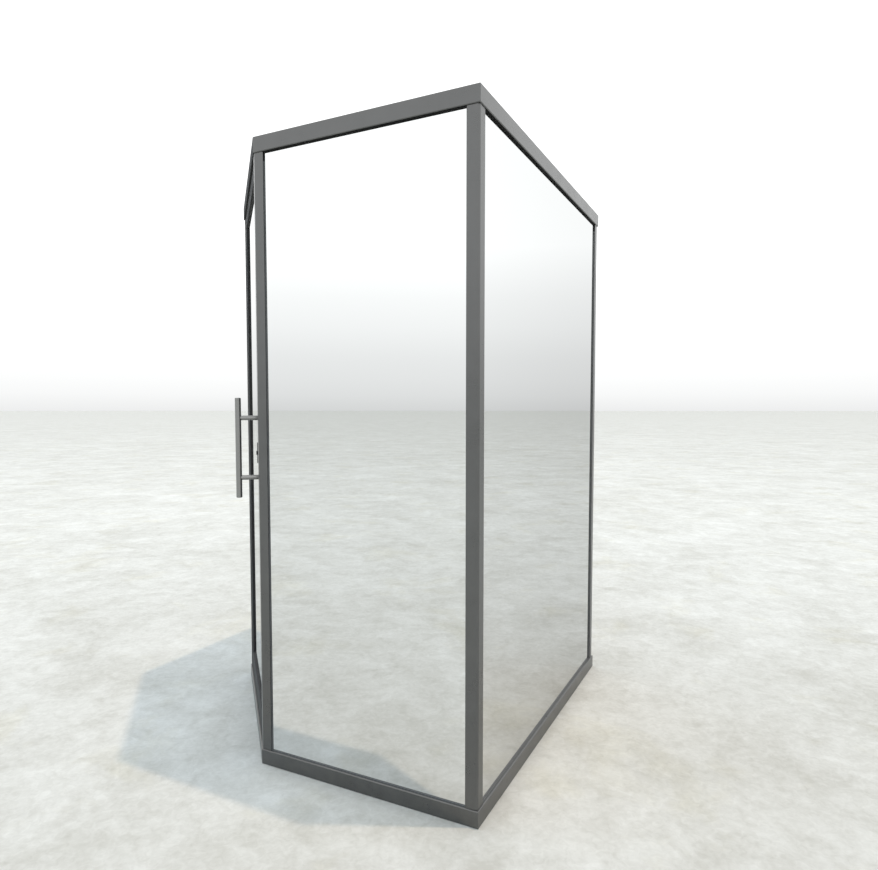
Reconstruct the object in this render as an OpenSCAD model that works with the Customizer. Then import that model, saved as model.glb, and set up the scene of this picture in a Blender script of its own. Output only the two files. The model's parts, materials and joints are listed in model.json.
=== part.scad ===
// Telephone booth: a square cabin with one corner cut off for the door.
// Mitred metal rails at floor and roof, five posts, mirror-glass walls in
// rubber channels, a pivot-hung glass door with a tubular pull handle and a
// deadbolt, and a hands-free wall telephone in the corner behind the glass.
// +Z is up. The origin is on the floor, at the centre of the square plan.

/* [Booth] */
// Length of the full sides of the square plan
booth_side = 1375; // [1200:5:1600]
// How far the door corner is cut back along each side
corner_cut = 570; // [500:5:700]
// Overall height
booth_height = 2100; // [1950:10:2400]

/* [Frame] */
// Height of the base rails
base_h = 52; // [44:1:80]
// Height of the cap rails
cap_h = 52; // [44:1:80]
// Depth of the base and cap rails, from outside to inside
rail_d = 60; // [56:1:80]
// Width of the posts
post_w = 39; // [34:1:60]
// Width of the posts at the two obtuse corners
post_slim_w = 36; // [34:1:50]
// How far the posts stand back from the face of the rails
post_set = 4; // [2:0.5:5]
// Radius of the outer edge of the posts
post_edge_r = 8; // [2:0.5:9]
// Wall thickness of the extruded profiles
skin = 3; // [2:0.5:3.5]
// Small rounding along the outer edges of the rails
rail_edge_r = 3; // [1:0.5:4]

/* [Glazing] */
// Glass thickness
glass_t = 6; // [4:1:8]
// How far the outer face of the wall glass lies behind the face of the rails
glass_set = 10; // [10:0.5:20]
// Thickness of the rubber channel round the glass
gasket_t = 3; // [2:0.5:3]
// How far the glass reaches into the frame
glass_bite = 9; // [7:0.5:10]
// How far the rubber stands out of the frame
gasket_lip = 2; // [0:0.5:4]

/* [Roof and floor] */
// Thickness of the roof panel
roof_t = 34; // [20:1:40]
// How far the roof panel lies below the top edge of the cap rails
roof_drop = 2; // [0:0.5:6]
// Thickness of the floor panel
floor_t = 18; // [12:1:25]
// Diameter of the ceiling light
light_d = 220; // [150:5:300]
// Depth of the ceiling light
light_h = 26; // [18:1:40]

/* [Ground anchors] */
// Diameter of the anchor bolt holes
anchor_hole_d = 13; // [10:0.5:16]
// Distance of the anchor bolts from the inner face of the base rails
anchor_in = 30; // [26:1:34]
// Length and width of a bracket's foot
anchor_foot = 60; // [50:2:70]
// Thickness of a bracket
anchor_t = 5; // [4:0.5:8]
// Distance of the front anchors from the hinge corner
anchor_front = 180; // [120:5:240]
// Distance of the rear anchors from the corner panel
anchor_rear = 60; // [45:5:120]

/* [Door] */
// Thickness of the door leaf
door_t = 32; // [30:1:36]
// How far the door leaf lies behind the face of the rails
door_set = 7; // [6:0.5:10]
// Gap between the door leaf and the posts
door_gap = 4; // [3:0.5:6]
// Gap above and below the door leaf
door_gap_z = 6; // [5:0.5:10]
// Width of the upright stiles of the door
stile_w = 50; // [48:1:70]
// Height of the top rail of the door
door_top_h = 50; // [40:1:90]
// Height of the bottom rail of the door
door_bottom_h = 80; // [50:1:160]
// Radius of the upright outer edges of the door leaf
door_edge_r = 3; // [2:0.5:4]
// Distance of the pivot axis from the hinge edge of the leaf
pivot_in = 12; // [11:0.5:16]
// Distance of the pivot axis from the outer face of the leaf
pivot_back = 9; // [8.5:0.5:10]
// Diameter of the pivot pins
pivot_d = 8; // [6:0.5:9]

/* [Handle] */
// Length of the handle bar
handle_len = 340; // [280:5:600]
// Diameter of the handle bar
handle_d = 20; // [16:1:30]
// Distance between the two standoffs
handle_pitch = 204; // [160:2:260]
// Distance of the handle bar's axis from the face of the door
handle_reach = 65; // [55:1:80]
// Diameter of the standoffs
standoff_d = 16; // [12:1:18]
// Height of the middle of the handle above the ground
handle_z = 1083; // [1000:1:1150]

/* [Lock] */
// Height of the lock's spindle above the ground
lock_z = 1065; // [1040:1:1100]
// Distance of the spindle from the lock edge of the leaf
lock_back = 24; // [22:0.5:26]
// How far the deadbolt is thrown
bolt_throw = 15; // [12:0.5:17]
// Height of the deadbolt
bolt_h = 25; // [20:1:32]
// Thickness of the deadbolt
bolt_t = 12; // [10:0.5:14]

/* [Telephone] */
// Distance from the rear corner to the corner panel, along each wall
panel_reach = 230; // [205:5:300]
// Thickness of the corner panel
panel_t = 12; // [8:1:18]
// Width of the telephone
phone_w = 170; // [150:2:200]
// Height of the telephone
phone_h = 280; // [260:5:340]
// Depth of the telephone's case
phone_d = 50; // [40:1:80]
// Height of the middle of the telephone above the floor
phone_z = 1310; // [1150:10:1450]
// Distance between neighbouring keys
key_pitch = 26; // [24:0.5:30]
// Diameter of a key
key_d = 16; // [12:0.5:18]
// How far a key is pressed in
key_travel = 2; // [1:0.25:3]

/* [Hidden] */
$fn = 48;
eps = 1;               // overlap of a cutting tool beyond the face it cuts
running = 0.05;        // radial clearance of a pin that turns in its bore
slack = 0.3;           // clearance between moving faces

HINGE = 3;             // corner at the hinge post, where the door side starts
STRIKE = 4;            // corner at the strike post, where the door side ends
REAR = 1;              // corner behind the telephone
SIDES = ["right", "rear", "left", "door", "front"];
POSTS = ["post_front_right", "post_rear_right", "post_rear_left", "post_hinge", "post_strike"];
KEYS = ["1", "2", "3", "4", "5", "6", "7", "8", "9", "end", "0", "call"];
BASE_NODES = [for (name = SIDES) str("base_rail_", name)];
CAP_NODES = [for (name = SIDES) str("cap_rail_", name)];
PANE_SIDES = [0, 1, 2, 4];
PANE_NODES = [for (i = PANE_SIDES) str("pane_", SIDES[i])];
KEY_NODES = [for (name = KEYS) str("key_", name)];
FRAME_NODES = [
    "wide_gaskets", "narrow_gaskets", "roof_panel", "floor_panel", "anchor_brackets",
    "light_housing", "light_lens", "corner_panel", "phone_case", "phone_plate",
    "top_pivot", "bottom_pivot", "strike_plate", "door_seal"
];
DOOR_NODES = [
    "hinge_stile", "lock_stile", "door_top_rail", "door_bottom_rail", "door_glass",
    "door_gasket", "pivot_blocks", "handle_bar", "handle_standoffs", "handle_bolts",
    "lock_case", "lock_escutcheons", "lock_cylinder", "thumb_turn", "deadbolt"
];

// ---- Plan: corners anticlockwise from the front right one ----
half = booth_side / 2;
corners = [
    [half, -half], [half, half], [-half, half],
    [-half, corner_cut - half], [corner_cut - half, -half]
];
corner_angle = [90, 90, 90, 135, 135];

function side_vec(i) = corners[(i + 1) % 5] - corners[i];
function side_len(i) = norm(side_vec(i));
function side_turn(i) = atan2(side_vec(i)[1], side_vec(i)[0]);
// How much a mitre takes off a strip's length per millimetre of depth
function mitre(i) = 1 / tan(corner_angle[i % 5] / 2);
// Distance from a corner to the flank of its post, along the side
function jamb(i) = post_set * mitre(i) + (corner_angle[i % 5] == 90 ? post_w : post_slim_w);
// A strip of a side, between two depths, with both ends mitred
function strip(i, d0, d1) = [
    [d0 * mitre(i), d0], [side_len(i) - d0 * mitre(i + 1), d0],
    [side_len(i) - d1 * mitre(i + 1), d1], [d1 * mitre(i), d1]
];
// The plan's outline, moved inwards
function inner_corner(i, d) =
    corners[i] + d * [
        cos(side_turn(i)) * mitre(i) - sin(side_turn(i)),
        sin(side_turn(i)) * mitre(i) + cos(side_turn(i))
    ];
function plan(d) = [for (i = [0 : 4]) inner_corner(i, d)];

// ---- Heights and depths that several pieces share ----
cap_z = booth_height - cap_h;
post_in = post_set + post_w;
groove_y = glass_set - gasket_t;
groove_w = glass_t + 2 * gasket_t;
groove_depth = glass_bite + gasket_t;
roof_z = booth_height - roof_drop - roof_t;
edge_bite = 0.02;
roof_skin = 2;
roof_cells = 14;
drip_in = rail_edge_r;                   // the drip strip starts where the rail's edge ends

door_z0 = base_h + door_gap_z;
door_z1 = cap_z - door_gap_z;
door_x0 = jamb(HINGE) + door_gap;
door_x1 = side_len(HINGE) - jamb(STRIKE) - door_gap;
door_in = door_set + door_t;
door_lip = 4;                            // thickness of the leaf's outer lip, in front of its glass
pivot_x = door_x0 + pivot_in;
pivot_y = door_set + pivot_back;
pivot_len = 28;                          // how far a pivot pin reaches into the leaf
pivot_plate_t = door_gap_z - 2;
seal_t = 3;
stop_y = door_in + seal_t;               // depth of the stop that the leaf closes on
stop_t = 3;
stop_reach = 14;                         // how far the stop reaches into the doorway
stop_root = 12;
stop_start = 14;                         // the header's stop starts this far from the pivot axis
stop_x0 = pivot_x + stop_start;

handle_x = door_x1 - stile_w / 2;
handle_y = door_set - handle_reach;
handle_bolt_d = 8;
spindle_x = door_x1 - lock_back;
spindle_d = 8;
plug_d = 14;
plate_t = 4;                             // thickness of the lock's outer plate and inner rose
plate_size = [32, 71];
rose_size = [18, 56];                    // narrow enough to pass the door's stop
chamber_w = stile_w - groove_depth - 2 * skin;
lock_case_h = 90;
lock_case_t = door_t - 2 * skin - 6;
lock_y = door_set + door_t / 2;
bolt_len = 33;
bolt_inset = 1;                          // the retracted bolt lies this far inside the leaf's edge
strike_t = 1.5;
strike_size = [24, 80];
faceplate_size = [20, 140];

panel_x = (panel_reach + rail_d) / sqrt(2);
panel_hw = (panel_reach - rail_d) / sqrt(2);
face_x = panel_x + phone_d;              // where the telephone's case ends and its plate starts
face_t = 3;
flange_t = 1.5;
flange_over = 2;                         // how much wider a key's flange is than the key, all round
key_stand = 3;                           // how far a key stands out of the plate
keypad_drop = 40;
keypad_z = phone_z - keypad_drop;
speaker_rise = 80;
speaker_z = phone_z + speaker_rise;
speaker_d = 56;

// ---- Placing ----
// Children are drawn along a side: x runs along it, y inwards, z up
module on_side(i) {
    translate(corners[i]) rotate(side_turn(i)) children();
}

// Children are drawn in front of the rear corner: x runs out of it, towards the door
module in_corner() {
    translate(corners[REAR]) rotate(225) children();
}

// A 2D section, drawn as depth against height, is run along x
module along(length) {
    rotate([90, 0, 90]) linear_extrude(length) children();
}

// A rod along y
module rod_y(r, length) {
    rotate([-90, 0, 0]) cylinder(r = r, h = length);
}

module box(low, high) {
    translate(low) cube(high - low);
}

// A rectangle whose first two corners, on the y = 0 edge, are rounded
module edged_square(size, r) {
    difference() {
        square(size);
        for (end = [0, 1]) translate([end * size[0], 0]) mirror([end, 0]) edge_cut(r);
    }
}

// What a rounding of radius r takes off a square corner at the origin
module edge_cut(r) {
    difference() {
        translate([-eps, -eps]) square(r + eps);
        translate([r, r]) circle(r);
    }
}

// ---- Rails ----
// Section of a rail with the glass channel in its top edge and a chamber under and behind it
module glazed_section(h) {
    back = groove_y + groove_w + skin;
    difference() {
        rail_block(h);
        translate([groove_y, h - groove_depth]) square([groove_w, groove_depth + eps]);
        translate([skin, skin]) square([back - 2 * skin, h - groove_depth - 2 * skin]);
        translate([back, skin]) square([rail_d - back - skin, h - 2 * skin]);
    }
}

// Section of a rail without glass, with one web in the middle
module plain_section(h) {
    chamber = (rail_d - 3 * skin) / 2;
    difference() {
        rail_block(h);
        for (y = [skin, 2 * skin + chamber]) translate([y, skin]) square([chamber, h - 2 * skin]);
    }
}

module rail_block(h) {
    difference() {
        square([rail_d, h]);
        edge_cut(rail_edge_r);
        translate([0, h]) mirror([0, 1]) edge_cut(rail_edge_r);
    }
}

// A section run along a side and mitred at both ends
module rail(i) {
    on_side(i) intersection() {
        along(side_len(i)) children();
        linear_extrude(booth_height) polygon(strip(i, 0, rail_d));
    }
}

module rail_section(i, h) {
    if (i == HINGE) plain_section(h);
    else glazed_section(h);
}

module base_rail(i) {
    color("dimgray") rail(i) rail_section(i, base_h);
}

module cap_rail(i) {
    color("gray") {
        rail(i) translate([0, booth_height]) mirror([0, 1]) rail_section(i, cap_h);
        if (i == HINGE) on_side(i) header_stop();
    }
}

// The lip under the cap rail that the top of the door closes on
module header_stop() {
    x1 = side_len(HINGE) - jamb(STRIKE) - stop_reach;
    box([stop_x0, stop_y, cap_z - stop_reach], [x1, stop_y + stop_t, cap_z]);
}

// ---- Posts ----
// Mirrors what is drawn along a side across the corner's bisector
module across(i) {
    half_angle = corner_angle[i] / 2;
    mirror([sin(half_angle), -cos(half_angle), 0]) children();
}

function across_point(i, p) =
    let (a = corner_angle[i]) [p[0] * cos(a) + p[1] * sin(a), p[0] * sin(a) - p[1] * cos(a)];

// Outline between two depths round a corner, reaching x0 along one side and x1 along the other
function corner_outline(i, d0, d1, x0, x1) =
    corner_angle[i] == 90
        ? [[d0, d0], [x0, d0], [x0, x1], [d0, x1]]
        : [
            [d0 * mitre(i), d0], [x0, d0], [x0, d1], [d1 * mitre(i), d1],
            across_point(i, [x1, d1]), across_point(i, [x1, d0])
        ];

module glass_channel(i) {
    translate([jamb(i) - groove_depth, groove_y]) square([groove_depth + eps, groove_w]);
}

// Rounds the outer edge of a post. The circle crosses the faces by a hair, so no sliver is left
module post_edge(i) {
    depth = post_set + post_edge_r - edge_bite;
    centre = depth * [mitre(i), 1];
    outside = post_set - 1;
    foot = [centre[0], outside];
    difference() {
        polygon([outside * [mitre(i), 1], foot, centre, across_point(i, foot)]);
        translate(centre) circle(post_edge_r);
    }
}

module post_section(i) {
    glass_after = i != HINGE;
    glass_before = i != STRIKE;
    core0 = jamb(i) - skin - (glass_after ? groove_depth : 0);
    core1 = jamb(i) - skin - (glass_before ? groove_depth : 0);
    difference() {
        polygon(corner_outline(i, post_set, post_in, jamb(i), jamb(i)));
        polygon(corner_outline(i, post_set + skin, post_in - skin, core0, core1));
        post_edge(i);
        if (glass_after) glass_channel(i);
        if (glass_before) across(i) glass_channel(i);
    }
}

module post(i) {
    color("gray") on_side(i) translate([0, 0, base_h])
        linear_extrude(cap_z - base_h) post_section(i);
}

// The strike post has the door's stop on its inner face and a mouth for the deadbolt
module strike_post() {
    color("gray") difference() {
        on_side(STRIKE) translate([0, 0, base_h]) linear_extrude(cap_z - base_h) {
            post_section(STRIKE);
            across(STRIKE) stop_section();
        }
        on_side(HINGE) bolt_mouth(0);
    }
}

module stop_section() {
    x = jamb(STRIKE);
    bite = skin / 2;
    root = [stop_root - bite, stop_y + stop_t - post_in + bite];
    translate([x - stop_root, post_in - bite]) square(root);
    translate([x - stop_root, stop_y]) square([stop_root + stop_reach, stop_t]);
}

// The opening that the deadbolt enters, with an allowance all round
module bolt_mouth(grow) {
    y = bolt_t / 2 + 1 + grow;
    z = bolt_h / 2 + 1 + grow;
    x = side_len(HINGE) - jamb(STRIKE);
    box([x - strike_t - eps, lock_y - y, lock_z - z], [x + skin + eps, lock_y + y, lock_z + z]);
}

module strike_plate() {
    x = side_len(HINGE) - jamb(STRIKE);
    reach = strike_size / 2;
    color("silver") on_side(HINGE) difference() {
        box([x - strike_t, lock_y - reach[0], lock_z - reach[1]],
            [x, lock_y + reach[0], lock_z + reach[1]]);
        bolt_mouth(0);
    }
}

// ---- Wall glass ----
// Low and high corner of a wall's glass
function pane_low(i) = [jamb(i) - glass_bite, glass_set, base_h - glass_bite];
function pane_high(i) = [
    side_len(i) - jamb(i + 1) + glass_bite, glass_set + glass_t, cap_z + glass_bite
];

module pane(i) {
    color("lightsteelblue") on_side(i) box(pane_low(i), pane_high(i));
}

// Rubber channel round a pane: it covers the edge and lies on both faces
module gasket(low, high) {
    window = (glass_bite + gasket_lip) * [1, 0, 1] - (gasket_t + eps) * [0, 1, 0];
    difference() {
        box(low - gasket_t * [1, 1, 1], high + gasket_t * [1, 1, 1]);
        box(low, high);
        box(low + window, high - window);
    }
}

// Flap that goes on from the channel to the front edge of the cap rail, as a drip strip
module drip_strip(i) {
    x0 = jamb(i);
    x1 = side_len(i) - jamb(i + 1);
    box([x0, drip_in, cap_z - gasket_lip], [x1, groove_y + eps, cap_z]);
}

module wall_gaskets(walls) {
    color("black") for (i = walls) on_side(i) {
        gasket(pane_low(i), pane_high(i));
        drip_strip(i);
    }
}

// ---- Roof, floor and anchors ----
// Hollow-core panel: its cells run from side to side and end at the cap rails
module roof_panel() {
    width = booth_side - 2 * rail_d;
    pitch = (width - roof_skin) / roof_cells;
    color("darkgray") intersection() {
        translate([-half, rail_d - half, roof_z]) along(booth_side) difference() {
            square([width, roof_t]);
            for (c = [0 : roof_cells - 1]) translate([roof_skin + c * pitch, roof_skin])
                square([pitch - roof_skin, roof_t - 2 * roof_skin]);
        }
        translate([0, 0, roof_z]) linear_extrude(roof_t) polygon(plan(rail_d));
    }
}

// Children are drawn once at each anchor bolt, with x pointing away from the rail
module each_anchor() {
    x = half - rail_d - anchor_in;
    y_front = corner_cut - half + anchor_front;
    y_rear = half - panel_reach - anchor_rear;
    for (turn = [0, 180], y = [y_front, y_rear])
        translate([turn == 0 ? -x : x, y, 0]) rotate(turn) children();
}

module floor_panel() {
    color("slategray") difference() {
        linear_extrude(floor_t) polygon(plan(rail_d));
        each_anchor() translate([0, 0, -eps]) cylinder(d = anchor_hole_d, h = floor_t + 2 * eps);
    }
}

// Angle brackets that hold the base rails down, bolted through the floor
module anchor_brackets() {
    leg = base_h - floor_t - rail_edge_r;
    color("silver") each_anchor() translate([0, 0, floor_t]) difference() {
        translate([-anchor_in, -anchor_foot / 2, 0]) {
            cube([anchor_foot, anchor_foot, anchor_t]);
            cube([anchor_t, anchor_foot, leg]);
        }
        translate([0, 0, -eps]) cylinder(d = anchor_hole_d, h = anchor_t + 2 * eps);
    }
}

// ---- Ceiling light ----
rim_w = 12;        // width of the housing's rim round the lens
rim_chamfer = 6;
lens_d = light_d - 2 * rim_w;
lens_t = 4;

module light_housing() {
    r = light_d / 2;
    color("white") translate([0, 0, roof_z - light_h]) rotate_extrude($fn = 96) difference() {
        polygon([[0, 0], [r - rim_chamfer, 0], [r, rim_chamfer], [r, light_h], [0, light_h]]);
        translate([-eps, -eps]) square([lens_d / 2 + eps, light_h - 2 * skin + eps]);
    }
}

module light_lens() {
    color("ivory") translate([0, 0, roof_z - light_h]) cylinder(d = lens_d, h = lens_t, $fn = 96);
}

// ---- Door leaf ----
// Section of a stile, with its outer edge at x = 0 and its glass channel at x = stile_w
module stile_section() {
    back = door_lip + groove_w + skin;
    difference() {
        edged_square([stile_w, door_t], door_edge_r);
        translate([skin, skin]) square([chamber_w, door_t - 2 * skin]);
        translate([stile_w - groove_depth, door_lip]) square([groove_depth + eps, groove_w]);
        translate([stile_w - groove_depth, back]) square([groove_depth - skin, door_t - back - skin]);
    }
}

module stile() {
    translate([0, 0, door_z0]) linear_extrude(door_z1 - door_z0) stile_section();
}

module hinge_stile() {
    color("gray") on_side(HINGE) translate([door_x0, door_set, 0]) stile();
}

module lock_stile() {
    color("gray") on_side(HINGE) difference() {
        translate([door_x1, door_set, 0]) mirror([1, 0, 0]) stile();
        // opening for the lock's faceplate in the edge
        box([door_x1 - skin - eps, lock_y - faceplate_size[0] / 2, lock_z - faceplate_size[1] / 2],
            [door_x1 + eps, lock_y + faceplate_size[0] / 2, lock_z + faceplate_size[1] / 2]);
        // hole for the key plug outside and for the spindle inside
        translate([spindle_x, door_set - eps, lock_z]) rod_y(plug_d / 2 + slack, skin + 2 * eps);
        translate([spindle_x, door_in - skin - eps, lock_z]) rod_y(spindle_d / 2 + slack, skin + 2 * eps);
        // holes for the handle's bolts
        each_standoff() translate([0, door_set - eps, 0]) rod_y(handle_bolt_d / 2 + slack, door_t + 2 * eps);
    }
}

// Section of a door rail, drawn as depth against height, with the glass channel in its top edge
module door_rail_section(h) {
    back = door_lip + groove_w + skin;
    difference() {
        square([door_t, h]);
        translate([skin, skin]) square([door_t - 2 * skin, h - groove_depth - 2 * skin]);
        translate([door_lip, h - groove_depth]) square([groove_w, groove_depth + eps]);
        translate([back, h - groove_depth]) square([door_t - back - skin, groove_depth - skin]);
    }
}

rail_x0 = door_x0 + stile_w;
rail_x1 = door_x1 - stile_w;

module door_bottom_rail() {
    color("gray") on_side(HINGE) translate([rail_x0, door_set, door_z0])
        along(rail_x1 - rail_x0) door_rail_section(door_bottom_h);
}

module door_top_rail() {
    color("gray") on_side(HINGE) translate([rail_x0, door_set, door_z1])
        along(rail_x1 - rail_x0) mirror([0, 1]) door_rail_section(door_top_h);
}

door_glass_y = door_set + door_lip + gasket_t;
door_glass_low = [rail_x0 - glass_bite, door_glass_y, door_z0 + door_bottom_h - glass_bite];
door_glass_high = [rail_x1 + glass_bite, door_glass_y + glass_t, door_z1 - door_top_h + glass_bite];

module door_glass() {
    color("lightsteelblue") on_side(HINGE) box(door_glass_low, door_glass_high);
}

module door_gasket() {
    color("black") on_side(HINGE) gasket(door_glass_low, door_glass_high);
}

// Rubber strip on the stop, round the lock side and the top of the doorway
module door_seal() {
    x1 = side_len(HINGE) - jamb(STRIKE);
    y0 = door_in + slack;
    color("black") on_side(HINGE) {
        box([x1 - stop_reach, y0, base_h], [x1 - door_gap / 2, stop_y, cap_z]);
        box([stop_x0, y0, cap_z - stop_reach], [x1 - stop_reach + eps, stop_y, cap_z]);
    }
}

// ---- Door pivots ----
block_h = 40;
bore_spare = 2;                  // a pivot bore is this much deeper than its pin
pivot_plate_gap = [4, 3];        // how far a pivot's plate stays inside the leaf's outline

// Blocks inside the hinge stile that run on the pivot pins
module pivot_blocks() {
    low = [door_x0 + skin, door_set + skin];
    size = [chamber_w, door_t - 2 * skin];
    color("silver") on_side(HINGE) difference() {
        for (z = [door_z0, door_z1 - block_h])
            translate([low[0], low[1], z]) cube([size[0], size[1], block_h]);
        for (z = [door_z0 - eps, door_z1 - pivot_len - bore_spare])
            translate([pivot_x, pivot_y, z])
                cylinder(r = pivot_d / 2 + running, h = pivot_len + bore_spare + eps);
    }
}

// A plate with a pin that stands up from it, at the pivot axis
module pivot_bracket(collar_h) {
    gap = pivot_plate_gap;
    translate([door_x0 + gap[0] - pivot_x, door_set + gap[1] - pivot_y, 0])
        cube([stile_w - 2 * gap[0], door_t - 2 * gap[1], pivot_plate_t]);
    cylinder(d = pivot_d, h = door_gap_z + pivot_len);
    cylinder(r = pivot_back - 1, h = pivot_plate_t + collar_h);
}

module bottom_pivot() {
    color("silver") on_side(HINGE) translate([pivot_x, pivot_y, base_h])
        pivot_bracket(door_gap_z - pivot_plate_t - slack);
}

module top_pivot() {
    color("silver") on_side(HINGE) translate([pivot_x, pivot_y, cap_z]) mirror([0, 0, 1])
        pivot_bracket(0.5);
}

// ---- Handle ----
module each_standoff() {
    for (end = [-1, 1]) translate([handle_x, 0, handle_z + end * handle_pitch / 2]) children();
}

// A round bar with chamfered ends
module handle_bar() {
    r = handle_d / 2;
    chamfer = 1.5;
    color("silver") on_side(HINGE) translate([handle_x, handle_y, handle_z - handle_len / 2])
        rotate_extrude() polygon([
            [0, 0], [r - chamfer, 0], [r, chamfer], [r, handle_len - chamfer],
            [r - chamfer, handle_len], [0, handle_len]
        ]);
}

bolt_bite = 20;   // how far a handle bolt reaches into its standoff

module handle_standoffs() {
    color("silver") on_side(HINGE) difference() {
        each_standoff() translate([0, handle_y, 0]) rod_y(standoff_d / 2, handle_reach);
        translate([handle_x, handle_y, handle_z - handle_len])
            cylinder(r = handle_d / 2 + running, h = 2 * handle_len);
        each_standoff() translate([0, door_set - bolt_bite - running, 0])
            rod_y(handle_bolt_d / 2 + running, bolt_bite + running + eps);
    }
}

// Bolts that come through the stile from inside, with round heads
module handle_bolts() {
    head_r = 8;
    head_h = 5;
    round_off = 2;
    color("silver") on_side(HINGE) each_standoff() {
        translate([0, door_set - bolt_bite, 0]) rod_y(handle_bolt_d / 2, door_t + bolt_bite);
        translate([0, door_in, 0]) rotate([-90, 0, 0]) rotate_extrude()
            polygon([
                [0, 0], [head_r, 0], [head_r, head_h - round_off], [head_r - round_off, head_h], [0, head_h]
            ]);
    }
}

// ---- Lock ----
// The case in the stile, with its faceplate flush in the leaf's edge
module lock_case() {
    x0 = door_x1 - skin - chamber_w;
    channel = [bolt_t, bolt_h] / 2 + slack * [1, 1];
    face = faceplate_size / 2;
    color("dimgray") on_side(HINGE) difference() {
        union() {
            box([x0, lock_y - lock_case_t / 2, lock_z - lock_case_h / 2],
                [door_x1 - skin, lock_y + lock_case_t / 2, lock_z + lock_case_h / 2]);
            box([door_x1 - skin, lock_y - face[0], lock_z - face[1]],
                [door_x1, lock_y + face[0], lock_z + face[1]]);
        }
        box([x0 - eps, lock_y - channel[0], lock_z - channel[1]],
            [door_x1 + eps, lock_y + channel[0], lock_z + channel[1]]);
        translate([spindle_x, lock_y - lock_case_t, lock_z]) rod_y(spindle_d / 2 + slack, 2 * lock_case_t);
    }
}

// The bolt has a fork at its back, round the spindle
module deadbolt() {
    x1 = door_x1 - bolt_inset;
    fork = spindle_d / 2 + slack;
    color("silver") on_side(HINGE) difference() {
        box([x1 - bolt_len, lock_y - bolt_t / 2, lock_z - bolt_h / 2],
            [x1, lock_y + bolt_t / 2, lock_z + bolt_h / 2]);
        translate([spindle_x, lock_y - bolt_t, lock_z]) rod_y(fork, 2 * bolt_t);
        box([x1 - bolt_len - eps, lock_y - bolt_t, lock_z - fork],
            [spindle_x, lock_y + bolt_t, lock_z + fork]);
    }
}

// The plate round the key plug outside and the rose round the thumb turn inside
module lock_escutcheons() {
    color("dimgray") on_side(HINGE) {
        translate([spindle_x, door_set - plate_t, lock_z]) rotate([-90, 0, 0]) difference() {
            linear_extrude(plate_t) stadium(plate_size);
            translate([0, 0, -eps]) cylinder(r = plug_d / 2 + slack, h = plate_t + 2 * eps);
        }
        translate([spindle_x, door_in, lock_z]) rotate([-90, 0, 0]) difference() {
            linear_extrude(plate_t) stadium(rose_size);
            translate([0, 0, -eps]) cylinder(r = spindle_d / 2 + slack, h = plate_t + 2 * eps);
        }
    }
}

// An upright plate with half-round ends, centred
module stadium(size) {
    run = size[1] - size[0];
    translate([-size[0] / 2, -run / 2]) square([size[0], run]);
    for (end = [-1, 1]) translate([0, end * run / 2]) circle(d = size[0]);
}

// The key plug, with its keyway, stands a little proud of the plate
module lock_cylinder() {
    proud = 3;
    keyway = [2, 4, 8];
    back = lock_y - lock_case_t / 2 - slack;
    color("dimgray") on_side(HINGE) translate([spindle_x, door_set - plate_t - proud, lock_z]) difference() {
        rod_y(plug_d / 2, back - door_set + plate_t + proud);
        translate([-keyway[0] / 2, -eps, -keyway[2] / 2]) cube(keyway + [0, eps, 0]);
    }
}

// Spindle through the lock case, with a boss and a flat grip
module thumb_turn() {
    grip = [6, 16, 30];
    boss_r = 9;
    boss_h = 8;
    y0 = lock_y - lock_case_t / 2 - slack;
    y1 = door_in + plate_t + slack;
    color("silver") on_side(HINGE) translate([spindle_x, 0, lock_z]) {
        translate([0, y0, 0]) rod_y(spindle_d / 2, y1 - y0 + eps);
        translate([0, y1, 0]) rod_y(boss_r, boss_h);
        translate([-grip[0] / 2, y1 + boss_h - eps, -grip[2] / 2]) cube(grip);
    }
}

// ---- Telephone ----
// Upright panel across the rear corner, with its edges flat on the rails
module corner_panel() {
    color("lightgray") in_corner() translate([0, 0, floor_t]) linear_extrude(roof_z - floor_t)
        polygon([
            [panel_x, -panel_hw], [panel_x, panel_hw],
            [panel_x - panel_t, panel_hw - panel_t], [panel_x - panel_t, panel_t - panel_hw]
        ]);
}

// Children are drawn at key k, with z pointing out of the plate
module at_key(k) {
    column = k % 3;
    row = floor(k / 3);
    in_corner() translate([face_x, (column - 1) * key_pitch, keypad_z + (1.5 - row) * key_pitch])
        rotate([0, 90, 0]) children();
}

pocket_d = flange_t + key_travel + 2 * slack;
pocket_w = 4 * key_pitch;        // three columns of keys, and half a pitch more on each side
pocket_h = 5 * key_pitch;        // four rows, likewise
mic_d = 3;
mic_drop = 14;                   // how far the microphone's hole lies below the key field

module phone_case() {
    wall = 4;
    color("dimgray") in_corner() difference() {
        box([panel_x, -phone_w / 2, phone_z - phone_h / 2], [face_x, phone_w / 2, phone_z + phone_h / 2]);
        // hollow back, closed by the corner panel
        box([panel_x - eps, wall - phone_w / 2, wall - phone_h / 2 + phone_z],
            [face_x - pocket_d - wall, phone_w / 2 - wall, phone_z + phone_h / 2 - wall]);
        // pocket behind the keys
        box([face_x - pocket_d, -pocket_w / 2, keypad_z - pocket_h / 2],
            [face_x + eps, pocket_w / 2, keypad_z + pocket_h / 2]);
        // throat of the loudspeaker
        translate([face_x - pocket_d - wall - eps, 0, speaker_z]) rotate([0, 90, 0])
            cylinder(d = speaker_d, h = pocket_d + wall + 2 * eps);
    }
}

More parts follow.
